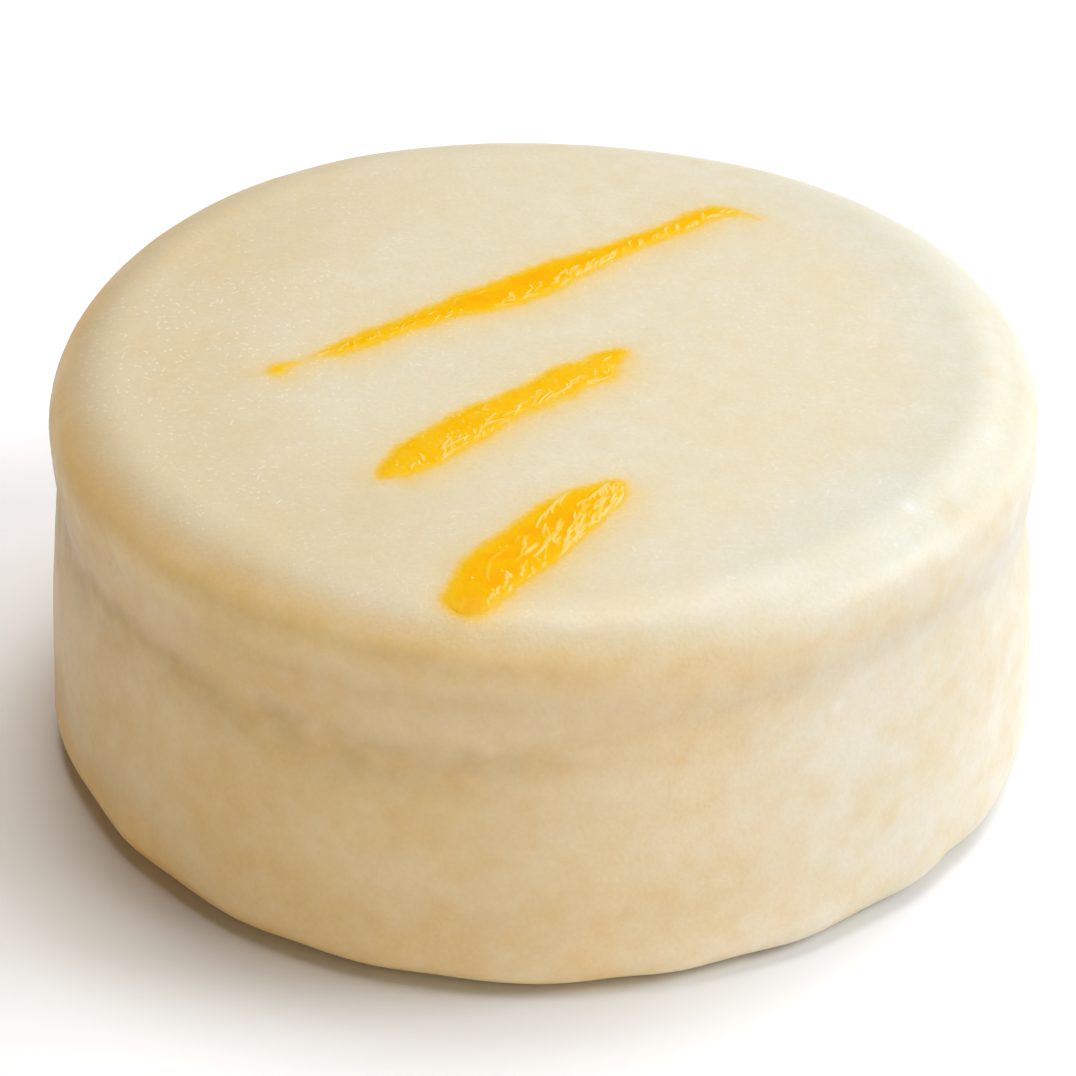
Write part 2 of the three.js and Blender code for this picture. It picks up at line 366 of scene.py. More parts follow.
class Stroke:
    """Middle line and half widths of a stroke, as fine samples."""

    STEP = 0.07

    def __init__(self, name, seed):
        self.name, self.seed = name, seed
        spec = STROKES[name]
        d = np.array(spec["direction"])
        d = d / np.linalg.norm(d)
        n = np.array([-d[1], d[0]])
        rows = np.array(spec["rows"])
        s = np.linspace(rows[0, 0], rows[-1, 0], 900)
        t, w = spline(rows[:, 0], rows[:, 1], s), np.maximum(spline(rows[:, 0], rows[:, 2], s), 0.02)
        p = np.array(spec["origin"]) + s[:, None] * d + t[:, None] * n
        along = np.concatenate([[0], np.cumsum(np.linalg.norm(np.diff(p, axis=0), axis=1))])
        self.count = int(along[-1] / self.STEP)
        even = np.linspace(0, along[-1], self.count + 1)
        self.u = even
        self.length = even[-1]
        self.mid = np.stack([np.interp(even, along, p[:, k]) for k in (0, 1)], -1)
        self.half = np.interp(even, along, w)
        tangent = np.gradient(self.mid, axis=0)
        tangent /= np.linalg.norm(tangent, axis=1, keepdims=True)
        # a smoothed direction keeps the cross lines from crossing each other
        kernel = np.hanning(31)
        kernel /= kernel.sum()
        for k in (0, 1):
            tangent[:, k] = np.convolve(np.pad(tangent[:, k], 15, mode="edge"), kernel, mode="valid")
        tangent /= np.linalg.norm(tangent, axis=1, keepdims=True)
        self.side = np.stack([-tangent[:, 1], tangent[:, 0]], -1)
        # ragged edges
        at = np.stack([even, 0 * even, 0 * even + seed], -1)
        fine = smooth(self.half / 0.5)
        self.left = self.half + fine * (0.1 * octaves(at / 0.8, 2, seed) + 0.06 * noise(at / 0.3, seed + 3))
        self.right = self.half + fine * (0.14 * octaves(at / 0.8, 2, seed + 5) + 0.08 * noise(at / 0.3, seed + 8))
        left, right = self.left[:, None] * self.side, self.right[:, None] * self.side
        self.outline = np.concatenate([self.mid + left, (self.mid - right)[::-1]])
        self.outline = np.concatenate([self.outline, self.outline[:1]])

    def local(self, x, y):
        """Nearest place on the middle line, and the signed offset from it (positive to the left)."""
        p = np.stack([x, y], -1)
        best = np.zeros(len(p), int)
        for i in range(0, len(p), 4000):
            gap = ((p[i : i + 4000, None, :] - self.mid[None, ::3, :]) ** 2).sum(-1)
            best[i : i + 4000] = gap.argmin(1) * 3
        best = np.minimum(best, len(self.mid) - 1)
        away = p - self.mid[best]
        sign = np.where((away * self.side[best]).sum(1) >= 0, 1.0, -1.0)
        return best, sign * np.linalg.norm(away, axis=1)

    def beyond(self, x, y, reach=3.5):
        """Distance outside of the outline (negative inside), and how far the point is on the left, 0 to 1."""
        low, high = self.outline.min(0) - reach, self.outline.max(0) + reach
        near = np.where((x > low[0]) & (x < high[0]) & (y > low[1]) & (y < high[1]))[0]
        out, left = np.full(len(x), reach), np.zeros(len(x))
        if not len(near):
            return out, left
        i, off = self.local(x[near], y[near])
        edge = np.where(off >= 0, self.left[i], self.right[i])
        p = np.stack([x[near], y[near]], -1)
        a, b = self.outline[:-1:2], self.outline[2::2]
        a = a[: len(b)]
        ab = b - a
        length = np.maximum((ab * ab).sum(-1), 1e-9)
        gap = np.zeros(len(p))
        for k in range(0, len(p), 4000):
            ap = p[k : k + 4000, None, :] - a
            t = np.clip((ap * ab).sum(-1) / length, 0, 1)
            gap[k : k + 4000] = np.sqrt(((ap - t[..., None] * ab) ** 2).sum(-1).min(1))
        away = np.where(np.abs(off) < edge, -gap, gap) + self.sparse(self.u[i])
        leftness = np.clip(0.5 + off / (0.6 + 1.5 * np.maximum(away, 0)), 0, 1)
        # past its ends the stain is as short as at the left
        first, last = self.mid[0], self.mid[-1]
        behind = ((first - p) * (self.mid[9] - first)).sum(-1) / np.linalg.norm(self.mid[9] - first)
        ahead = ((p - last) * (last - self.mid[-10])).sum(-1) / np.linalg.norm(last - self.mid[-10])
        leftness = np.maximum(leftness, smooth((np.where(i < 30, behind, -1) + 0.7) / 1.2))
        leftness = np.maximum(leftness, smooth((np.where(i > len(self.mid) - 30, ahead, -1) + 0.5) / 1.2))
        out[near] = away + self.lean(self.u[i]) * (1 - leftness) * smooth(away / 0.5)
        left[near] = leftness
        return np.minimum(out, reach), left

    def lean(self, u):
        """How much shorter the stain at the right is along the stroke, in millimetres."""
        if self.name == "glaze_stroke_short":
            return 0.3 * smooth((u - 6) / 2)
        if self.name == "glaze_stroke_middle":
            return -0.25 * bell((u - 13) / 3.5)
        return 0 * u

    def sparse(self, u):
        """Where the stroke runs out, there is less glaze."""
        if self.name != "glaze_stroke_long":
            return 0 * u
        tail = 0.34 * smooth((u - (self.length - 3.0)) / 2.4)
        start = 0.22 * smooth((5.0 - u) / 2.0) + 0.16 * bell((u - 2.7) / 0.9) + 0.1 * smooth((1.8 - u) / 0.8)
        return tail + start


def ragged(x, y):
    """Unevenness of the edge of a stroke, in millimetres."""
    p = np.stack([x, y, 0 * x], -1)
    return 0.24 * octaves(p / 0.75, 2, 55)


# ---- marks in the glaze: pale wrinkles, partly where it lies thin over the coat and partly painted glints on their ridges, as curved lines, and little round bubbles
WRINKLES = {
    # how many, from u, to u, from and to across (-1 is the lower right edge), slant and its spread in degrees,
    # shortest, longest, thinnest, thickest, weakest, strongest
    "glaze_stroke_long": [
        (36, 15.5, 25.0, -0.95, -0.2, 18, 26, 0.4, 1.1, 0.055, 0.085, 0.5, 0.9),
        (28, 20.0, 35.0, -1.1, -0.42, 38, 10, 0.5, 1.1, 0.08, 0.13, 0.5, 0.85),
        (34, 3.5, 13.0, -0.95, 0.2, 38, 22, 0.25, 0.7, 0.05, 0.075, 0.3, 0.75),
        (10, 8.0, 30.0, 0.55, 0.95, 20, 15, 0.3, 0.6, 0.05, 0.07, 0.3, 0.6),
    ],
    "glaze_stroke_middle": [
        (27, 3.0, 18.0, -1.0, -0.35, 13, 10, 0.6, 2.2, 0.05, 0.08, 0.45, 1.0),
        (16, 12.0, 18.6, -0.9, 0.2, 38, 22, 0.3, 0.8, 0.055, 0.085, 0.4, 0.9),
        (14, 1.5, 8.0, -0.95, -0.3, 40, 15, 0.3, 0.9, 0.055, 0.085, 0.5, 0.9),
        (22, 3.5, 18.5, 0.4, 1.0, 30, 15, 0.3, 0.6, 0.045, 0.065, 0.3, 0.7),
    ],
    "glaze_stroke_short": [
        (52, 6.3, 15.0, -1.0, 0.12, 22, 11, 0.6, 1.9, 0.07, 0.11, 0.4, 0.9),
        (14, 12.5, 16.3, -0.8, 0.8, 34, 10, 0.4, 1.1, 0.06, 0.09, 0.4, 0.85),
        (22, 7.5, 15.5, -1.1, -0.75, 12, 7, 0.8, 1.6, 0.08, 0.11, 0.5, 1.0),
        (18, 1.2, 7.0, -1.05, -0.55, 36, 14, 0.4, 0.9, 0.08, 0.13, 0.4, 0.9),
        (6, 2.8, 7.5, -0.3, 0.5, 14, 6, 0.8, 2.4, 0.06, 0.09, 0.3, 0.5),
        (4, 9.0, 12.0, 0.3, 0.6, 22, 6, 1.4, 2.6, 0.08, 0.1, 0.6, 0.8),
    ],
}
BUBBLES = {  # how many, from u, to u, smallest and largest radius
    "glaze_stroke_long": (14, 4.0, 16.0, 0.05, 0.08),
    "glaze_stroke_middle": (30, 1.4, 9.5, 0.05, 0.12),
    "glaze_stroke_short": (6, 2.0, 9.0, 0.06, 0.1),
}


def wrinkle(rng, u, v, angle, length, width, strength):
    """One line that starts at (u, v) mm in the frame of the stroke and levels out as it goes."""
    steps = 14
    a = angle - rng.uniform(0.1, 0.8) * np.linspace(-0.4, 0.6, steps) + 0.06 * np.cumsum(rng.normal(size=steps))
    du = np.cos(a) * length / steps
    dv = np.sin(a) * length / steps
    line = np.stack([u + np.concatenate([[0], np.cumsum(du)]), v + np.concatenate([[0], np.cumsum(dv)])], -1)
    return line, width, strength


def marks_for(stroke):
    rng = np.random.default_rng(70 + stroke.seed)
    lines, dots = [], []
    for many, u0, u1, low, high, slant, spread, short, long, thin, thick, weak, strong in WRINKLES[stroke.name]:
        for i in range(many):
            u = u0 + (u1 - u0) * (i + rng.uniform()) / many
            across = rng.uniform(low, high)
            v = across * np.interp(u, stroke.u, stroke.left if across > 0 else stroke.right)
            angle = math.radians(rng.normal(slant, spread))
            size = rng.uniform(thin, thick)
            lines.append(wrinkle(rng, u, v, angle, rng.uniform(short, long), size, rng.uniform(weak, strong)))
    many, u0, u1, small, large = BUBBLES[stroke.name]
    for _ in range(many):
        u = rng.uniform(u0, u1)
        v = rng.uniform(-0.9, 0.7) * np.interp(u, stroke.u, stroke.half)
        dots.append((u, v, rng.uniform(small, large), rng.uniform(0.5, 1.0)))
    return lines, dots


def marks_at(u, v, lines, dots):
    """Strength of the wrinkles at points of the frame of the stroke, 0 to 1."""
    out = np.zeros(len(u))
    for line, width, strength in lines:
        low, high = line.min(0) - 4 * width, line.max(0) + 4 * width
        near = np.where((u > low[0]) & (u < high[0]) & (v > low[1]) & (v < high[1]))[0]
        if not len(near):
            continue
        p = np.stack([u[near], v[near]], -1)
        a, b = line[:-1], line[1:]
        ab = b - a
        t = np.clip(((p[:, None, :] - a) * ab).sum(-1) / np.maximum((ab * ab).sum(-1), 1e-9), 0, 1)
        gap = np.linalg.norm(p[:, None, :] - (a + t[..., None] * ab), axis=-1)
        k = gap.argmin(1)
        at = (k + t[np.arange(len(k)), k]) / len(a)
        fade = np.sqrt(np.clip(4 * at * (1 - at), 0, 1)) * 0.75 + 0.25
        out[near] = np.maximum(out[near], strength * bell(gap[np.arange(len(k)), k] / width) * fade)
    for du, dv, size, strength in dots:
        out = np.maximum(out, strength * bell(np.hypot(u - du, v - dv) / size))
    return out


# ------------------------------------------------------------------------------------------------ meshes
def closed_grid(name, points, ends):
    """A closed mesh of rings (rings, steps, 3), with one point at each end."""
    rings, steps = points.shape[:2]
    co = np.concatenate([points.reshape(-1, 3), np.array(ends)]) * MM
    i, j = np.meshgrid(np.arange(rings - 1), np.arange(steps), indexing="ij")
    k = (j + 1) % steps
    quads = np.stack([i * steps + j, i * steps + k, (i + 1) * steps + k, (i + 1) * steps + j], -1).reshape(-1, 4)
    j = np.arange(steps)
    k = (j + 1) % steps
    n = rings * steps
    first = np.stack([np.full(steps, n), k, j], -1)
    last = np.stack([(rings - 1) * steps + j, (rings - 1) * steps + k, np.full(steps, n + 1)], -1)
    return mesh_object(name, co, quads.tolist() + first.tolist() + last.tolist())


def mesh_object(name, co, faces):
    mesh = bpy.data.meshes.new(name)
    mesh.from_pydata(co.tolist(), [], faces)
    mesh.validate()
    mesh.shade_smooth()
    obj = bpy.data.objects.new(name, mesh)
    bpy.context.scene.collection.objects.link(obj)
    return obj


def set_attribute(obj, name, values):
    attribute = obj.data.attributes.new(name, "FLOAT", "POINT")
    attribute.data.foreach_set("value", np.ascontiguousarray(values, np.float32))


def make_body(strokes):
    points, aa, rr, zz = body_grid()
    centre_top, _ = top_point(np.array([0.0]), np.array([0.001]))
    obj = closed_grid("white_chocolate_coat", points, [(0, 0, 0), tuple(centre_top[0])])

    def with_ends(values, low, high):
        return np.concatenate([values.ravel(), [low, high]])

    flat = points.reshape(-1, 3)
    # distance from the glaze strokes, for the stain around them, and the side of the stroke
    gap, left = np.full(len(flat), 3.5), np.zeros(len(flat))
    near = np.where((flat[:, 2] > 22.5) & (np.hypot(flat[:, 0], flat[:, 1]) < 29.9))[0]
    for stroke in strokes:
        away, leftness = stroke.beyond(flat[near, 0], flat[near, 1])
        closer = away < gap[near]
        gap[near[closer]] = away[closer]
        left[near[closer]] = leftness[closer]
    gap = gap + ragged(flat[:, 0], flat[:, 1]) * smooth((3.4 - gap) / 1.5)
    set_attribute(obj, "gap", np.concatenate([gap, [3.5, 3.5]]))
    set_attribute(obj, "left", np.concatenate([left, [0, 0]]))

    # tints of the coat, from the height on the section and the azimuth
    wander = octaves(flat / 7.0, 3, 20).reshape(zz.shape)
    fleck = octaves(flat / np.array([2.4, 2.4, 1.5]), 3, 24).reshape(zz.shape)
    blotch = octaves(flat / 1.5, 3, 30).reshape(zz.shape)
    off = zz - seam_height(aa)
    degrees = np.degrees(_wrap(aa))
    at_left = smooth((26 - degrees) / 60) * smooth((degrees + 190) / 60)
    at_right = smooth((degrees - 2) / 46) * smooth((180 - degrees) / 60)
    # a warmer band along the shoulder at the left: partly the biscuit showing through the thin coat there, partly
    # painted shade where the shoulder turns away from the lights
    shoulder = smooth((24.8 - zz) / 1.4) * smooth((zz - 21.8 + 0.6 * wander) / 1.9) * at_left
    set_attribute(obj, "shoulder", with_ends(shoulder, 0, 0))
    # painted shade under the widest place of the upper biscuit, down to the seam: darker and a little greyer
    underside_shade = smooth((22.4 - zz + 0.5 * wander) / 2.4) * smooth((off + 0.4) / 1.6)
    set_attribute(obj, "underside_shade", with_ends(underside_shade, 0, 0))
    # the seam where the two coats meet: its own blotchy ochre, with painted shade making it wider at the far left and
    # much stronger at the left, away from the lights, than at the right
    broad = 1 + 0.9 * smooth((-50 - degrees) / 22) * smooth((degrees + 140) / 30)
    seam = bell((off + 0.1) / (np.where(off < -0.1, 1.5, 1.3) * broad))
    seam = seam * np.clip(0.35 + 0.2 * broad + 0.9 * fleck + 0.5 * wander, 0.1, 1.1)
    set_attribute(obj, "seam", with_ends(seam * (0.2 + 0.8 * at_left), 0, 0))
    side = smooth((24.9 + 0.6 * at_left - zz) / (2.2 - 0.6 * at_left))
    set_attribute(obj, "side", with_ends(side, 1, 0))
    # painted highlight: the rim and shoulder of the top at the right, towards the lights, whiter and bluer
    set_attribute(obj, "right_rim_highlight", with_ends(at_right * smooth((rr - 19) / 7) * smooth((zz - 22.5) / 1.5), 0, 0))
    # painted shade and light: the side is warmer and deeper at the left, away from the lights, and whiter at the
    # right, towards them; and the top is darker and warmer towards its left rim, as painted shade
    rim = at_left * smooth((rr - 12) / 11) * smooth((zz - 24) / 1.2)
    set_attribute(obj, "thin", with_ends(np.maximum(at_left * side, 0), 0.3, 0))
    set_attribute(obj, "thick", with_ends(at_right * side, 0.3, 0))
    set_attribute(obj, "rim", with_ends(rim, 0, 0))
    mottle = np.clip(0.5 + 0.9 * wander + 0.7 * blotch + 0.3 * fleck, 0, 1)
    set_attribute(obj, "mottle", with_ends(0.5 + (mottle - 0.5) * (0.45 + 0.55 * side), 0.5, 0.5))
    spots_and_shade = np.zeros(zz.shape)
    outer_r, outer_z = outer_section()
    for at, height, size, warmth in SPOTS:
        centre = shape(np.array(math.radians(at)), np.interp(height, outer_z, outer_r), np.array(height))
        spots_and_shade = spots_and_shade + warmth * bell(np.linalg.norm(points - centre, axis=-1) / size)
    # painted shade added to the spots as warmth: a band under the upper biscuit at the right front, and more on the
    # shoulder at the far left; and warm streaks along the folds at the left, which are the coat's own
    band = bell((zz - 22.4 + 0.03 * degrees) / 1.25) * smooth((degrees + 12) / 14) * smooth((58 - degrees) / 16)
    far_left = smooth((-42 - degrees) / 14) * smooth((degrees + 150) / 30)
    streaks = np.stack([(aa * 30 + zz * 0.75).ravel() / 0.8, (aa * 30 - zz).ravel() / 6.0, 0 * zz.ravel()], -1)
    streaks = np.clip(1.6 * noise(streaks, 46).reshape(zz.shape), -0.3, 1) * smooth((zz - 8) / 9) * smooth((25 - zz) / 2)
    spots_and_shade = spots_and_shade + 0.36 * band + far_left * (0.25 * shoulder + 0.3 * streaks)
    # more warmth added to the spots: along the rim of the left shoulder and low on the foot at the left as painted
    # shade, and at the front of the shoulder partly the biscuit showing through and partly painted shade
    spots_and_shade = spots_and_shade + 0.14 * bell((zz - 24.8) / 0.8) * smooth((-25 - degrees) / 20) * smooth((degrees + 150) / 30)
    spots_and_shade = spots_and_shade + 0.2 * bell((degrees - 4) / 12) * bell((zz - 24.5) / 1.0)
    spots_and_shade = spots_and_shade + 0.5 * smooth((2.8 - zz) / 1.6) * smooth((-22 - degrees) / 20) * smooth((degrees + 150) / 30)
    set_attribute(obj, "spots_and_shade", with_ends(spots_and_shade, 0, 0))
    # painted light from the floor: the foot is lighter, bluer at the front and warmer at the left
    foot = smooth((6 - zz) / 4)
    set_attribute(obj, "foot", with_ends(foot * smooth((degrees + 62) / 25) * smooth((55 - degrees) / 30), 0, 0))
    set_attribute(obj, "foot_left_floor_light", with_ends(foot * far_left, 0, 0))
    # where the top is scuffed: most at its left
    x, y = points[..., 0], points[..., 1]
    scuffed = 0.25 + 0.8 * bell(np.hypot(x + 19, y - 2) / 11) + 0.3 * bell(np.hypot(x - 10, y - 3) / 8)
    worn = np.clip(scuffed + 0.7 * wander + 1.1 * fleck, 0, 1) * smooth((zz - 24.4) / 0.9)
    set_attribute(obj, "worn", with_ends(worn, 0, 0.3))
    return obj


def make_stroke(stroke):
    """A thin closed skin of glaze: the upper face stands just over the coat and sinks into it at the edge."""
    across = max(12, int(np.ceil(2 * stroke.half.max() / 0.068)))
    q = np.linspace(-1, 1, across + 1)
    q = np.sign(q) * np.abs(q) ** 0.92
    over = 0.16  # the sunken rim reaches a little past the visible edge
    left = (stroke.left + over)[1:-1, None]
    right = (stroke.right + over)[1:-1, None]
    v = np.where(q[None, :] >= 0, q[None, :] * left, q[None, :] * right)
    mid, side, u = stroke.mid[1:-1], stroke.side[1:-1], stroke.u[1:-1]
    x = mid[:, None, 0] + v * side[:, None, 0]
    y = mid[:, None, 1] + v * side[:, None, 1]
    uu = np.broadcast_to(u[:, None], v.shape)
    place, normal = top_point(x.ravel(), y.ravel())
    lines, dots = marks_for(stroke)
    marks = marks_at(uu.ravel(), v.ravel(), lines, dots)
    gap, on_left = stroke.beyond(x.ravel(), y.ravel())
    inside = stroke.sparse(uu.ravel()) - gap
    where = np.stack([x.ravel(), y.ravel(), 0 * x.ravel()], -1)
    marks = marks * smooth((inside + 0.16) / 0.12)
    level = 0.034 * smooth((inside + 0.14) / 0.5) - 0.012 + 0.02 * smooth(inside / 1.3)
    uneven = 0.014 * octaves(where / 1.1, 3, 80 + stroke.seed) + 0.028 * marks
    level = level + smooth((inside + 0.05) / 0.35) * uneven
    top = place + normal * level[:, None]
    under = place - normal * (0.05 + 0.1 * smooth((inside + 0.05) / 0.3))[:, None]
    rows, cols = v.shape
    top = top.reshape(rows, cols, 3)
    under = under.reshape(rows, cols, 3)
    # rings: over the top from right to left, and back under
    ring = np.concatenate([top, under[:, ::-1]], 1)
    ends = [tuple(0.5 * (top[0].mean(0) + under[0].mean(0))), tuple(0.5 * (top[-1].mean(0) + under[-1].mean(0)))]
    obj = closed_grid(stroke.name, ring, ends)

    gap = gap + ragged(x.ravel(), y.ravel())
    if stroke.name == "glaze_stroke_middle":  # it lies thinner than the others
        gap = np.maximum(gap, -0.3)

    def both(values, end):
        grid = values.reshape(rows, cols)
        return np.concatenate([np.concatenate([grid, grid[:, ::-1]], 1).ravel(), [end, end]])

    set_attribute(obj, "gap", both(gap, 0.0))
    set_attribute(obj, "left", both(on_left, 0.5))
    set_attribute(obj, "marks", both(marks, 0.0))
    return obj


# ------------------------------------------------------------------------------------------------ materials
class Nodes:
    """Small helpers to write a node tree as expressions. Distances in it are millimetres."""

    def __init__(self, name):
        self.material = bpy.data.materials.new(name)
        self.material.use_nodes = True
        self.tree = self.material.node_tree
        self.shader = self.tree.nodes["Principled BSDF"]
        coordinates = self.tree.nodes.new("ShaderNodeTexCoord")
        self.mm = self.vector("MULTIPLY", coordinates.outputs["Object"], (1000.0, 1000.0, 1000.0))

    def put(self, socket, value):
        if isinstance(value, bpy.types.NodeSocket):
            self.tree.links.new(value, socket)
        elif isinstance(value, tuple) and socket.type == "RGBA" and len(value) == 3:
            socket.default_value = (*value, 1.0)
        else:
            socket.default_value = value

    def math(self, operation, a, b=0.0, c=0.0, clamp=False):
        node = self.tree.nodes.new("ShaderNodeMath")
        node.operation = operation
        node.use_clamp = clamp
        for socket, value in zip(node.inputs, (a, b, c)):
            self.put(socket, value)
        return node.outputs[0]

    def vector(self, operation, a, b=(0.0, 0.0, 0.0), out=0):
        node = self.tree.nodes.new("ShaderNodeVectorMath")
        node.operation = operation
        self.put(node.inputs[0], a)
        self.put(node.inputs[1], b)
        return node.outputs[out]

    def range(self, value, low, high, to_low=0.0, to_high=1.0, smoothed=True):
        node = self.tree.nodes.new("ShaderNodeMapRange")
        node.interpolation_type = "SMOOTHSTEP" if smoothed else "LINEAR"
        for socket, given in zip(node.inputs, (value, low, high, to_low, to_high)):
            self.put(socket, given)
        return node.outputs[0]

    def noise(self, scale, detail=2.0, roughness=0.5, at=None, stretch=None, distortion=0.0):
        node = self.tree.nodes.new("ShaderNodeTexNoise")
        vector = self.mm if at is None else at
        if stretch is not None:
            vector = self.vector("MULTIPLY", vector, stretch)
        self.put(node.inputs["Vector"], vector)
        node.inputs["Scale"].default_value = scale
        node.inputs["Detail"].default_value = detail
        node.inputs["Roughness"].default_value = roughness
        node.inputs["Distortion"].default_value = distortion
        return node.outputs["Fac"] if "Fac" in node.outputs else node.outputs[0]

    def attribute(self, name):
        node = self.tree.nodes.new("ShaderNodeAttribute")
        node.attribute_name = name
        return node.outputs["Fac"]

    def mix(self, factor, a, b, blend="MIX"):
        node = self.tree.nodes.new("ShaderNodeMix")
        node.data_type = "RGBA"
        node.blend_type = blend
        self.put(node.inputs["Factor"], factor)
        self.put(node.inputs["A"] if node.inputs["A"].type == "RGBA" else node.inputs[6], a)
        self.put(node.inputs["B"] if node.inputs["B"].type == "RGBA" else node.inputs[7], b)
        return node.outputs[2]

    def ramp(self, factor, stops):
        node = self.tree.nodes.new("ShaderNodeValToRGB")
        self.put(node.inputs["Fac"], factor)
        elements = node.color_ramp.elements
        while len(elements) < len(stops):
            elements.new(0.5)
        for element, (position, colour) in zip(elements, stops):
            element.position = position
            element.color = (*colour, 1.0)
        return node.outputs["Color"]

    def curve(self, value, points):
        node = self.tree.nodes.new("ShaderNodeFloatCurve")
        self.put(node.inputs["Value"], value)
        line = node.mapping.curves[0]
        while len(line.points) < len(points):
            line.points.new(0.5, 0.5)
        for point, (x, y) in zip(line.points, points):
            point.location = (x, y)
            point.handle_type = "AUTO_CLAMPED"
        node.mapping.update()
        return node.outputs[0]

    def bump(self, height, distance, strength=1.0, under=None):
        node = self.tree.nodes.new("ShaderNodeBump")
        node.inputs["Strength"].default_value = strength
        node.inputs["Distance"].default_value = distance
        self.put(node.inputs["Height"], height)
        if under is not None:
            self.put(node.inputs["Normal"], under)
        return node.outputs["Normal"]

    def cells(self, scale, shift):
        """Flat Voronoi cells of the given number per millimetre: where a point is in its cell, and a random colour."""
        node = self.tree.nodes.new("ShaderNodeTexVoronoi")
        node.voronoi_dimensions = "2D"
        moved = self.vector("ADD", self.mm, shift)
        self.put(node.inputs["Vector"], moved)
        node.inputs["Scale"].default_value = scale
        split = self.tree.nodes.new("ShaderNodeSeparateColor")
        self.put(split.inputs[0], node.outputs["Color"])
        return self.vector("SUBTRACT", moved, node.outputs["Position"]), split.outputs

    def turn(self, vector, angle):
        node = self.tree.nodes.new("ShaderNodeVectorRotate")
        node.rotation_type = "Z_AXIS"
        self.put(node.inputs["Vector"], vector)
        self.put(node.inputs["Angle"], angle)
        split = self.tree.nodes.new("ShaderNodeSeparateXYZ")
        self.put(split.inputs[0], node.outputs[0])
        return split.outputs[0], split.outputs[1]


# what the glaze does to the colour of the coat, by how much of it there is
STAIN_STOPS = [
    (0.0, (0.5, 0.5, 0.5)),
    (0.1, (0.51, 0.48, 0.407)),
    (0.23, (0.537, 0.455, 0.305)),
    (0.5, (0.56, 0.422, 0.115)),
    (0.75, (0.578, 0.39, 0.024)),
    (0.88, (0.587, 0.36, 0.003)),
    (1.0, (0.595, 0.303, 0.001)),
]
# the side is warmer and more saturated than the top: partly the biscuit under a thinner coat, partly painted shade,
# the richer colour that the sides show as they get less light than the top
COAT_TOP = (0.715, 0.633, 0.445)
COAT_SIDE = (0.91, 0.7, 0.4)
# painted shade: the side at the left, away from the lights, warmer and deeper
COAT_SIDE_SHADED = (0.89, 0.645, 0.305)
# painted light: the side at the right, towards the lights, whiter
COAT_SIDE_LIT = (0.775, 0.68, 0.5)
# what these places do to the colour of the coat
# painted shade: the top darker and warmer towards its left rim
LEFT_RIM_SHADE = (0.945, 0.895, 0.81)
# warmer shoulder at the left: partly the biscuit showing through, partly painted shade
SHOULDER_TINT_AND_SHADE = (1.09, 1.06, 0.93)
# painted highlight on the right rim and shoulder
RIGHT_RIM_HIGHLIGHT = (0.95, 1.02, 1.15)
# painted shade under the upper biscuit
UNDERSIDE_SHADE = (0.91, 0.9, 0.91)
# the seam: its own ochre, deepened as painted shade at the left
SEAM_TINT_AND_SHADE = (0.76, 0.69, 0.54)
# painted light from the floor on the foot: at the front, and warmer at the left
FOOT_FLOOR_LIGHT, FOOT_LEFT_FLOOR_LIGHT = (1.08, 1.1, 1.15), (1.12, 1.03, 0.8)
WARM_MOTTLE, PALE_MOTTLE = (0.98, 0.93, 0.82), (1.02, 1.06, 1.16)
# the warm tint serves the coat's own warm spots and also the painted shade added to them; the white tint its white
# flecks
WARM_SPOT_AND_SHADE, WHITE_SPOT = (0.98, 0.83, 0.55), (1.1, 1.15, 1.3)
BLOOM = (0.88, 0.83, 0.74)
# pale wrinkles in the glaze: partly thin glaze over the coat, partly painted glints
PALE_WRINKLE_AND_GLINT = (0.87, 0.66, 0.23)
# how much glaze there is to see, by the distance outwards from the edge of a stroke, in millimetres
STAIN_REACH = (-1.0, 3.4)
STAIN_LEFT = [
    (-1, 1), (-0.5, 0.95), (-0.2, 0.87), (0, 0.76), (0.2, 0.51), (0.4, 0.27), (0.6, 0.155), (0.8, 0.105), (1.1, 0.065),
    (2.0, 0.025), (3.4, 0),
]  # fmt: skip
STAIN_RIGHT = [
    (-1, 1), (-0.5, 0.94), (-0.2, 0.85), (0, 0.73), (0.25, 0.5), (0.6, 0.29), (1.0, 0.2), (1.4, 0.14), (2.0, 0.08),
    (2.6, 0.042), (3.4, 0),
]  # fmt: skip


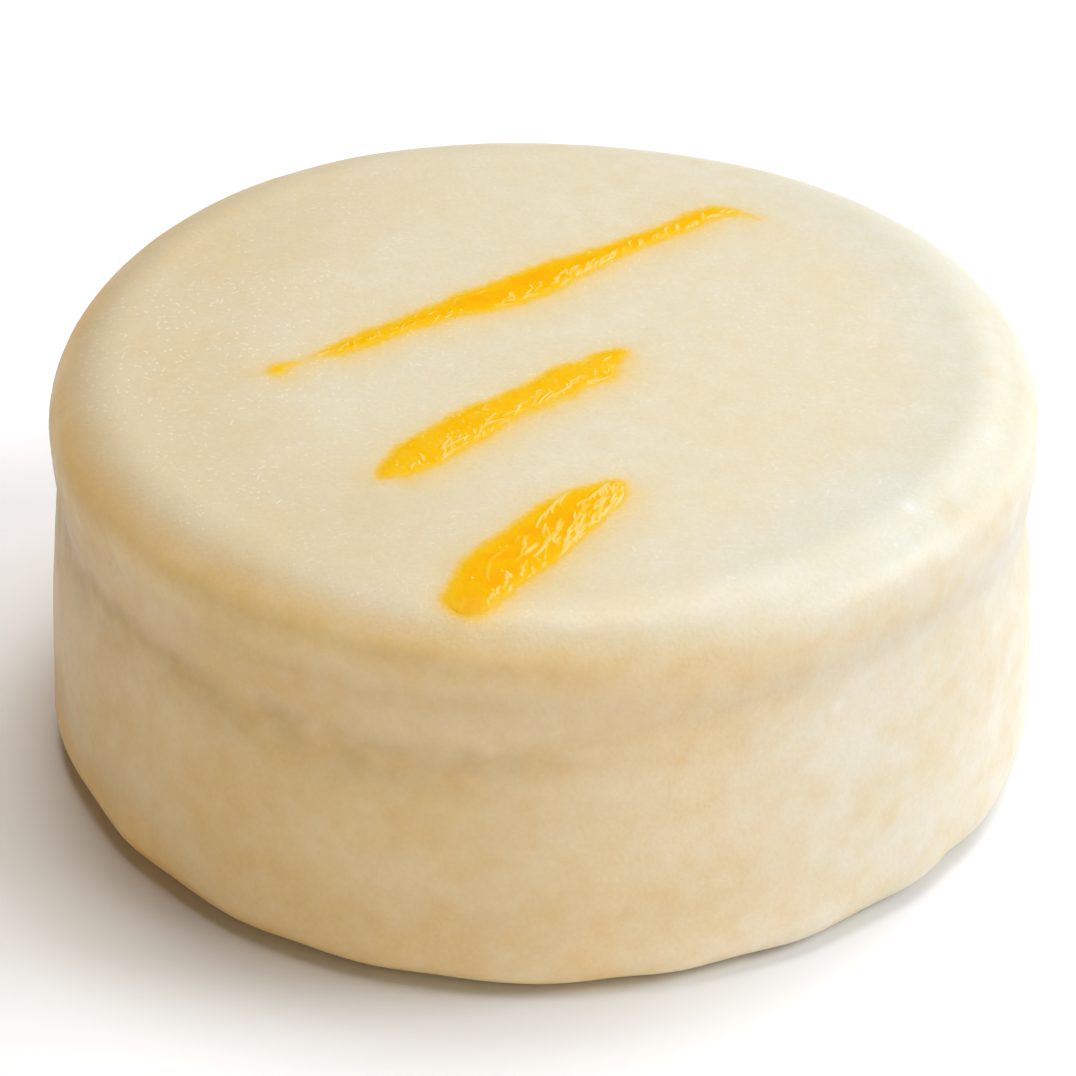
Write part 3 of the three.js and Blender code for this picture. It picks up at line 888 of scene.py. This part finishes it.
def coat_material():
    n = Nodes("white_chocolate")
    fine = n.noise(3.4, 2, 0.6)
    # top and side colours: the side's richer tone is partly painted shade
    colour = n.mix(n.attribute("side"), COAT_TOP, COAT_SIDE)
    # painted shade on the left of the side, painted light on its right
    colour = n.mix(n.attribute("thin"), colour, COAT_SIDE_SHADED)
    colour = n.mix(n.attribute("thick"), colour, COAT_SIDE_LIT)
    # painted shade at the left rim of the top
    colour = n.mix(n.attribute("rim"), colour, LEFT_RIM_SHADE, "MULTIPLY")
    # the left shoulder: partly its own warmer tone, partly painted shade
    colour = n.mix(n.attribute("shoulder"), colour, SHOULDER_TINT_AND_SHADE, "MULTIPLY")
    # painted highlight at the right rim
    colour = n.mix(n.attribute("right_rim_highlight"), colour, RIGHT_RIM_HIGHLIGHT, "MULTIPLY")
    # painted shade under the upper biscuit
    colour = n.mix(n.attribute("underside_shade"), colour, UNDERSIDE_SHADE, "MULTIPLY")
    # the seam, its own tint with painted shade at the left
    colour = n.mix(n.attribute("seam"), colour, SEAM_TINT_AND_SHADE, "MULTIPLY")
    # painted light from the floor on the foot
    colour = n.mix(n.attribute("foot"), colour, FOOT_FLOOR_LIGHT, "MULTIPLY")
    colour = n.mix(n.attribute("foot_left_floor_light"), colour, FOOT_LEFT_FLOOR_LIGHT, "MULTIPLY")
    # soft blotches: the coat is thinner in some places and the biscuit warms it
    colour = n.mix(1.0, colour, n.mix(n.attribute("mottle"), WARM_MOTTLE, PALE_MOTTLE), "MULTIPLY")
    spots_and_shade = n.attribute("spots_and_shade")
    # the coat's own warm spots, with painted shade carried in the same attribute
    colour = n.mix(n.math("MULTIPLY", spots_and_shade, 1.0, clamp=True), colour, WARM_SPOT_AND_SHADE, "MULTIPLY")
    colour = n.mix(n.math("MULTIPLY", spots_and_shade, -1.0, clamp=True), colour, n.vector("MULTIPLY", colour, WHITE_SPOT))
    colour = n.mix(1.0, colour, combine(n, n.range(fine, 0.25, 0.75, 0.97, 1.03, smoothed=False)), "MULTIPLY")
    # hairline scratches and specks of bloom, on the top
    marks = None
    for scale, shift, length, width, rare in (
        (0.8, (0.0, 0.0, 0.0), 0.36, 0.05, 0.45),
        (1.5, (11.3, 4.1, 0.0), 0.12, 0.07, 0.4),
    ):
        away, random = n.cells(scale, shift)
        along, across = n.turn(away, n.math("MULTIPLY", random[0], 6.2832))
        bent = n.math("ADD", across, n.math("MULTIPLY", n.math("SINE", n.math("MULTIPLY", along, 8.0)), 0.03))
        long = n.range(n.math("ABSOLUTE", along), length * 0.5, length, 1.0, 0.0)
        thin = n.range(n.math("ABSOLUTE", bent), width * 0.3, width * 1.5, 1.0, 0.0)
        chosen = n.range(random[1], rare, rare + 0.3, 0.0, 1.0)
        mark = n.math("MULTIPLY", n.math("MULTIPLY", long, thin), chosen)
        marks = mark if marks is None else n.math("MAXIMUM", marks, mark)
    marks = n.math("MULTIPLY", marks, n.attribute("worn"))
    colour = n.mix(n.math("MULTIPLY", marks, 0.5), colour, BLOOM)
    # stain of the glaze
    stain = n.ramp(glaze_amount(n, fine), STAIN_STOPS)
    colour = n.mix(1.0, colour, n.vector("MULTIPLY", stain, (2.0, 2.0, 2.0)), "MULTIPLY")
    n.put(n.shader.inputs["Base Color"], colour)
    n.put(n.shader.inputs["Roughness"], n.range(n.attribute("mottle"), 0.0, 1.0, 0.48, 0.38))
    n.shader.inputs["Specular IOR Level"].default_value = 0.4
    n.shader.subsurface_method = "BURLEY"
    # light doesn't spread under the strokes, which would darken their rims
    n.put(n.shader.inputs["Subsurface Weight"], n.range(n.attribute("gap"), 0.2, 2.4, 0.0, 0.6))
    n.shader.inputs["Subsurface Radius"].default_value = (1.0, 0.6, 0.3)
    n.shader.inputs["Subsurface Scale"].default_value = 0.9 * MM
    n.put(n.shader.inputs["Normal"], n.bump(fine, 0.02 * MM))
    return n.material


def glaze_amount(n, fine):
    """How much glaze lies over a point, the same on the coat and on the strokes, so that their edges are soft."""
    wobble = n.math("MULTIPLY", n.math("SUBTRACT", fine, 0.5), 0.3)
    at = n.range(n.math("ADD", n.attribute("gap"), wobble), *STAIN_REACH, smoothed=False)
    low, high = STAIN_REACH
    left, right = (n.curve(at, [((x - low) / (high - low), y) for x, y in line]) for line in (STAIN_LEFT, STAIN_RIGHT))
    return n.math("ADD", right, n.math("MULTIPLY", n.attribute("left"), n.math("SUBTRACT", left, right)))


def combine(n, value):
    node = n.tree.nodes.new("ShaderNodeCombineColor")
    for k in range(3):
        n.put(node.inputs[k], value)
    return node.outputs[0]


def glaze_material():
    n = Nodes("fruit_glaze")
    fine = n.noise(3.4, 2, 0.6)
    marks = n.attribute("marks")
    clouds = n.noise(0.75, 3, 0.55)
    amount = glaze_amount(n, fine)
    # deeper orange in patches, and yellower on the wrinkles, partly where it is thin and partly as painted glints
    amount = n.math("SUBTRACT", amount, n.range(clouds, 0.42, 0.62, 0.08, 0.0))
    amount = n.math("MULTIPLY", amount, n.range(marks, 0.0, 1.0, 1.0, 0.35), clamp=True)
    tone = n.vector("MULTIPLY", n.ramp(amount, STAIN_STOPS), (2.0, 2.0, 2.0))
    colour = n.mix(1.0, COAT_TOP, tone, "MULTIPLY")
    # pale wrinkles: partly thin glaze, partly painted glints
    colour = n.mix(n.range(marks, 0.1, 1.0, 0.0, 0.7), colour, PALE_WRINKLE_AND_GLINT)
    n.put(n.shader.inputs["Base Color"], colour)
    n.put(n.shader.inputs["Roughness"], n.range(clouds, 0.3, 0.7, 0.26, 0.36))
    n.shader.inputs["Specular IOR Level"].default_value = 0.08
    n.put(n.shader.inputs["Normal"], n.bump(fine, 0.02 * MM))
    return n.material


# ------------------------------------------------------------------------------------------------ stage
LIGHTS = [  # elevation and azimuth in degrees, and strength of red, green and blue: all of them nearly white
    ("light_right", 30, 90, (0.365, 0.396, 0.442)),
    ("light_back_high", 72, 180, (0.249, 0.245, 0.23)),
    ("light_key", 66, 120, (0.25, 0.259, 0.283)),
    ("light_above", 90, 0, (0.272, 0.252, 0.244)),
    ("light_back_right", 30, 150, (0.195, 0.199, 0.222)),
    ("light_right_high", 50, 72, (0.15, 0.158, 0.162)),
    ("light_front", 12, -12, (0.125, 0.117, 0.1)),
    ("light_front_right", 24, 56, (0.083, 0.083, 0.075)),
]
LIGHT_SIZE, LIGHT_DISTANCE = 0.42, 1.0  # metres
LIGHT_WATTS = 10.0


def make_lights():
    for name, elevation, azimuth, strength in LIGHTS:
        data = bpy.data.lights.new(name, "AREA")
        data.shape = "DISK"
        data.size = LIGHT_SIZE
        peak = max(strength)
        data.energy = LIGHT_WATTS * peak
        data.color = [s / peak for s in strength]
        light = bpy.data.objects.new(name, data)
        bpy.context.scene.collection.objects.link(light)
        e, a = math.radians(elevation), math.radians(azimuth)
        d = Vector((math.cos(e) * math.sin(a), -math.cos(e) * math.cos(a), math.sin(e)))
        light.location = d * LIGHT_DISTANCE
        light.rotation_euler = d.to_track_quat("Z", "Y").to_euler()
        light.visible_camera = False


def make_floor():
    half = 1.5
    floor = mesh_object("floor", np.array([(-half, -half, 0), (half, -half, 0), (half, half, 0), (-half, half, 0)]), [(0, 1, 2, 3)])
    material = bpy.data.materials.new("floor")
    material.use_nodes = True
    shader = material.node_tree.nodes["Principled BSDF"]
    shader.inputs["Base Color"].default_value = (0.95, 0.95, 0.95, 1)
    shader.inputs["Roughness"].default_value = 0.8
    shader.inputs["Specular IOR Level"].default_value = 0.0
    floor.data.materials.append(material)
    return floor


def make_world():
    world = bpy.data.worlds.new("world")
    bpy.context.scene.world = world
    world.use_nodes = True
    background = world.node_tree.nodes["Background"]
    background.inputs[0].default_value = (1, 1, 1, 1)
    background.inputs[1].default_value = 0.01
    scene = bpy.context.scene
    scene.view_settings.view_transform = "Standard"
    scene.view_settings.look = "None"


# ------------------------------------------------------------------------------------------------ run
make_camera()
strokes = [Stroke(name, 3 + 7 * i) for i, name in enumerate(STROKES)]
body = make_body(strokes)
body.data.materials.append(coat_material())
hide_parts("alfajor")
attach(body, "root")
glaze = glaze_material()
for stroke in strokes:
    piece = make_stroke(stroke)
    piece.data.materials.append(glaze)
    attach(piece, "root")

make_floor()
make_lights()
make_world()
